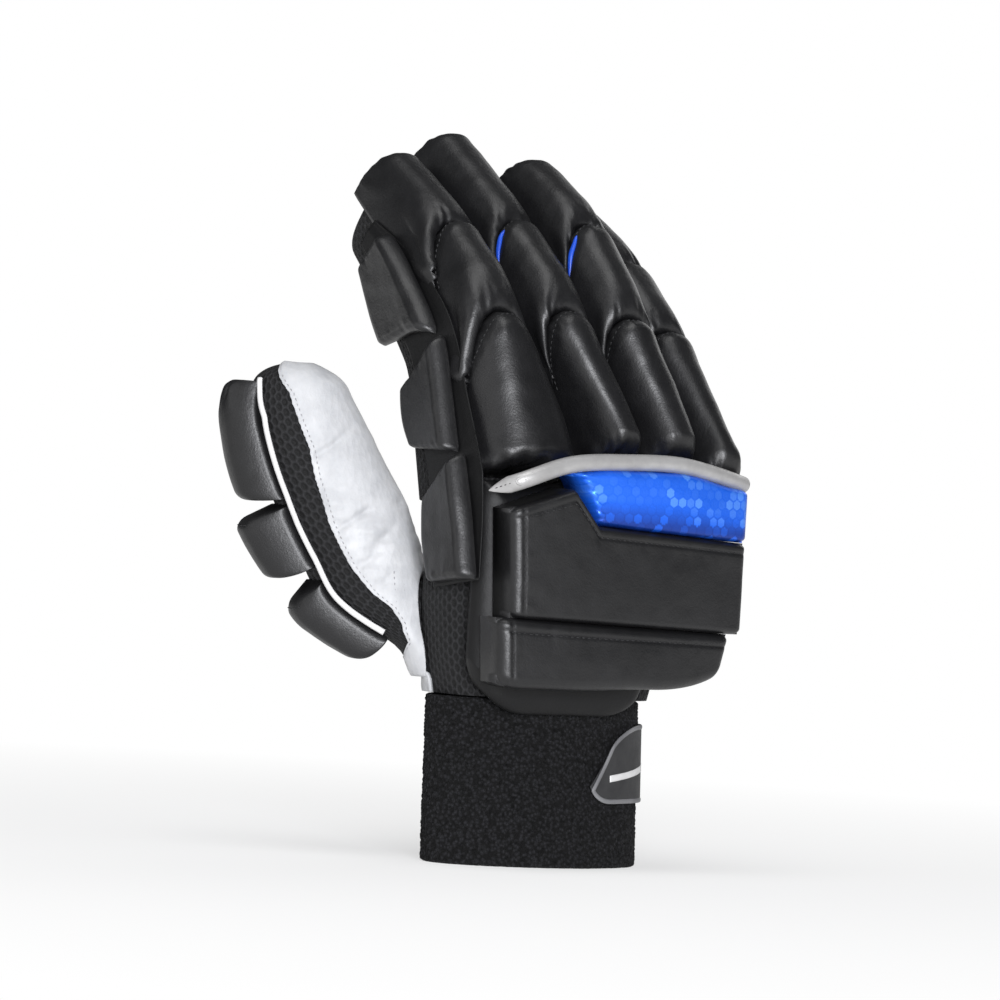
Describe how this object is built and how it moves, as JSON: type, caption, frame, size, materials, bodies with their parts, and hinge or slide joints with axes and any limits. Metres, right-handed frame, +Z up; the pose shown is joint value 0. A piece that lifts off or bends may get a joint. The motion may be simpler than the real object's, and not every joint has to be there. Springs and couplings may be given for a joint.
{
  "type": "cricket batting glove",
  "caption": "Right-hand cricket batting glove standing on its knitted cuff, with sausage-padded fingers, padded thumb and layered back-of-hand panels.",
  "frame": {"origin": "centre of the bounding box's bottom face, on the plane of the cuff hem", "axes": "+Z up from the hem to the fingertips, the back of the hand faces -Y, the palm faces +Y, the thumb and index side is -X"},
  "size_m": [0.1802, 0.1434, 0.2841],
  "materials": {
    "black_leather": "satin grained",
    "white_leather": "soft matte, creased",
    "mesh_fabric": "open spacer mesh",
    "terry_knit": "curled terry loops",
    "blue_foil": "metallic sheen with pale spots",
    "silver_pipe": "satin silver",
    "white_piping": "satin",
    "strap_rubber": "matte with a pale bound edge"
  },
  "bodies": {
    "root": {"wristband": "terry_knit", "wrist_strap": "strap_rubber", "liner_index": "mesh_fabric", "leather_index": "white_leather", "roll_index_proximal": "black_leather", "roll_index_middle": "black_leather", "roll_index_distal": "black_leather", "liner_middle": "mesh_fabric", "leather_middle": "white_leather", "roll_middle_proximal": "black_leather", "roll_middle_middle": "black_leather", "roll_middle_distal": "black_leather", "liner_ring": "mesh_fabric", "leather_ring": "white_leather", "roll_ring_proximal": "black_leather", "roll_ring_middle": "black_leather", "roll_ring_distal": "black_leather", "liner_little": "mesh_fabric", "leather_little": "white_leather", "roll_little_proximal": "black_leather", "roll_little_middle": "black_leather", "roll_little_distal": "black_leather", "index_side_panel": "black_leather", "side_pad_proximal": "black_leather", "side_pad_middle": "black_leather", "side_pad_distal": "black_leather", "palm_liner": "mesh_fabric", "liner_thumb": "mesh_fabric", "palm_leather": "white_leather", "thumb_leather": "white_leather", "thumb_pad_upper": "black_leather", "thumb_pad_middle": "black_leather", "thumb_pad_lower": "black_leather", "thumb_piping": "white_piping", "lower_panel": "black_leather", "upper_panel": "black_leather", "accent_pad": "blue_foil", "base_cushion": "black_leather", "knuckle_pipe": "silver_pipe"}
  },
  "joints": []
}
